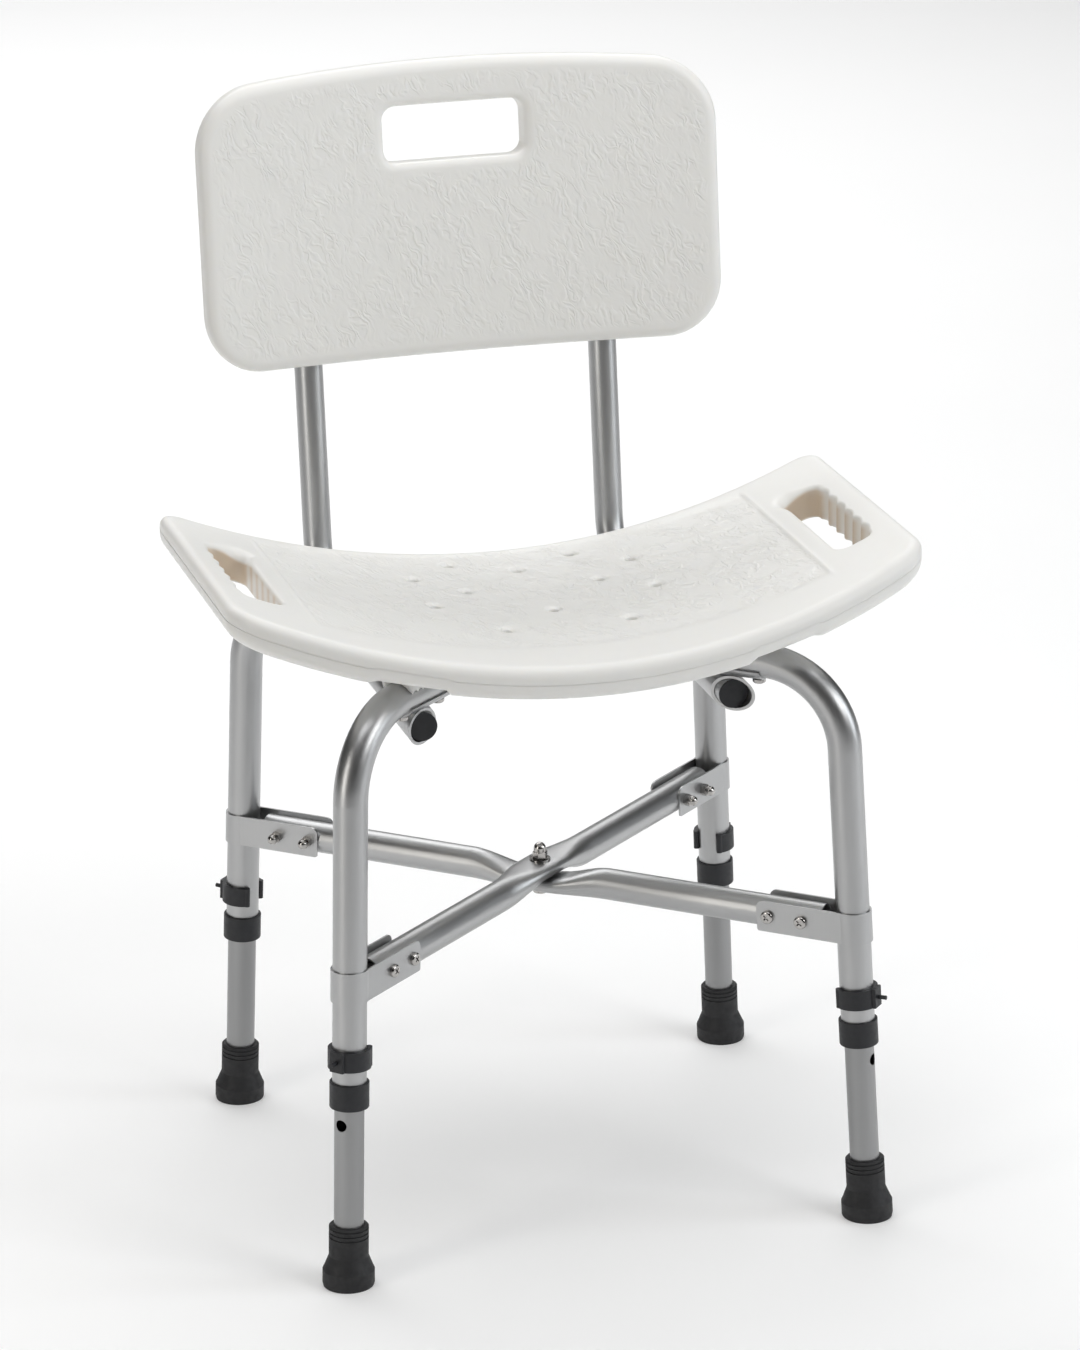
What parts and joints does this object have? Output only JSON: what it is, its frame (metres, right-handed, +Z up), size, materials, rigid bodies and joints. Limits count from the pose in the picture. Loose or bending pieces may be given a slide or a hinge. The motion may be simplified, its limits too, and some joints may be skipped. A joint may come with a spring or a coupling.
{
  "type": "shower chair",
  "caption": "Height-adjustable shower chair with a curved white seat, removable backrest and braced aluminium frame.",
  "frame": {"origin": "floor plane under the middle of the chair's overall box", "axes": "+X to the right seen from the front, -Y the front, +Z up; left and right in names are as seen from the front"},
  "size_m": [0.528, 0.4568, 0.823],
  "materials": {
    "moulded_plastic": "warm white, low gloss, leather-like grain",
    "anodised_aluminium": "satin anodised",
    "black_plastic": "matte",
    "black_rubber": "matte, moulded",
    "stainless_fasteners": "bright",
    "brass": "machined"
  },
  "bodies": {
    "frame": {"seat": "moulded_plastic", "seat_threaded_inserts": "brass", "bracket_screws": "stainless_fasteners", "arch_upper": "anodised_aluminium", "arch_lower": "anodised_aluminium", "arch_bolt": "stainless_fasteners", "arch_washer": "stainless_fasteners", "arch_nut": "stainless_fasteners", "brace_upper": "anodised_aluminium", "brace_lower": "anodised_aluminium", "brace_bolt": "stainless_fasteners", "brace_washers": "stainless_fasteners", "brace_nut": "stainless_fasteners", "leg_clamp_front_left": "anodised_aluminium", "clamp_screws_front_left": "stainless_fasteners", "clamp_nuts_front_left": "stainless_fasteners", "leg_collar_front_left": "black_plastic", "seat_bracket_front_left": "anodised_aluminium", "leg_clamp_front_right": "anodised_aluminium", "clamp_screws_front_right": "stainless_fasteners", "clamp_nuts_front_right": "stainless_fasteners", "leg_collar_front_right": "black_plastic", "seat_bracket_front_right": "anodised_aluminium", "leg_clamp_rear_left": "anodised_aluminium", "clamp_screws_rear_left": "stainless_fasteners", "clamp_nuts_rear_left": "stainless_fasteners", "leg_collar_rear_left": "black_plastic", "seat_bracket_rear_left": "anodised_aluminium", "leg_clamp_rear_right": "anodised_aluminium", "clamp_screws_rear_right": "stainless_fasteners", "clamp_nuts_rear_right": "stainless_fasteners", "leg_collar_rear_right": "black_plastic", "seat_bracket_rear_right": "anodised_aluminium"},
    "lower_leg_front_left": {"leg_extension_front_left": "anodised_aluminium", "foot_tip_front_left": "black_rubber"},
    "clip_front_left": {"height_clip_front_left": "black_plastic"},
    "lower_leg_front_right": {"leg_extension_front_right": "anodised_aluminium", "foot_tip_front_right": "black_rubber"},
    "clip_front_right": {"height_clip_front_right": "black_plastic"},
    "lower_leg_rear_left": {"leg_extension_rear_left": "anodised_aluminium", "foot_tip_rear_left": "black_rubber"},
    "clip_rear_left": {"height_clip_rear_left": "black_plastic"},
    "lower_leg_rear_right": {"leg_extension_rear_right": "anodised_aluminium", "foot_tip_rear_right": "black_rubber"},
    "clip_rear_right": {"height_clip_rear_right": "black_plastic"},
    "backrest_unit": {"backrest": "moulded_plastic", "backrest_threaded_inserts": "brass", "backrest_screws": "stainless_fasteners", "back_tube_left": "anodised_aluminium", "back_tube_right": "anodised_aluminium", "back_tube_front_plugs": "black_plastic", "back_tube_top_plugs": "black_plastic"},
    "snap_button_left": {"snap_button_left": "stainless_fasteners"},
    "snap_button_right": {"snap_button_right": "stainless_fasteners"}
  },
  "joints": [
    {"name": "leg_length_front_left", "type": "slide", "parent": "frame", "child": "lower_leg_front_left", "axis": [-0.04, -0.0362, -0.9985], "range_m": [-0.0508, 0.0508]},
    {"name": "clip_pull_front_left", "type": "slide", "parent": "frame", "child": "clip_front_left", "axis": [-0.7404, -0.67, 0.0539], "range_m": [0, 0.03], "deforming": ["height_clip_front_left"]},
    {"name": "leg_length_front_right", "type": "slide", "parent": "frame", "child": "lower_leg_front_right", "axis": [0.04, -0.0362, -0.9985], "range_m": [-0.0508, 0.0508]},
    {"name": "clip_pull_front_right", "type": "slide", "parent": "frame", "child": "clip_front_right", "axis": [0.7404, -0.67, 0.0539], "range_m": [0, 0.03], "deforming": ["height_clip_front_right"]},
    {"name": "leg_length_rear_left", "type": "slide", "parent": "frame", "child": "lower_leg_rear_left", "axis": [-0.04, 0.0362, -0.9985], "range_m": [-0.0508, 0.0508]},
    {"name": "clip_pull_rear_left", "type": "slide", "parent": "frame", "child": "clip_rear_left", "axis": [-0.7404, 0.67, 0.0539], "range_m": [0, 0.03], "deforming": ["height_clip_rear_left"]},
    {"name": "leg_length_rear_right", "type": "slide", "parent": "frame", "child": "lower_leg_rear_right", "axis": [0.04, 0.0362, -0.9985], "range_m": [-0.0508, 0.0508]},
    {"name": "clip_pull_rear_right", "type": "slide", "parent": "frame", "child": "clip_rear_right", "axis": [0.7404, 0.67, 0.0539], "range_m": [0, 0.03], "deforming": ["height_clip_rear_right"]},
    {"name": "backrest_slide", "type": "slide", "parent": "frame", "child": "backrest_unit", "axis": [0, 1, 0], "range_m": [0, 0.25]},
    {"name": "button_press_left", "type": "slide", "parent": "backrest_unit", "child": "snap_button_left", "axis": [0, 0, 1], "range_m": [0, 0.004], "stiffness_N_per_m": 2500, "springref_m": -0.002, "deforming": ["snap_button_left"]},
    {"name": "button_press_right", "type": "slide", "parent": "backrest_unit", "child": "snap_button_right", "axis": [0, 0, 1], "range_m": [0, 0.004], "stiffness_N_per_m": 2500, "springref_m": -0.002, "deforming": ["snap_button_right"]}
  ]
}
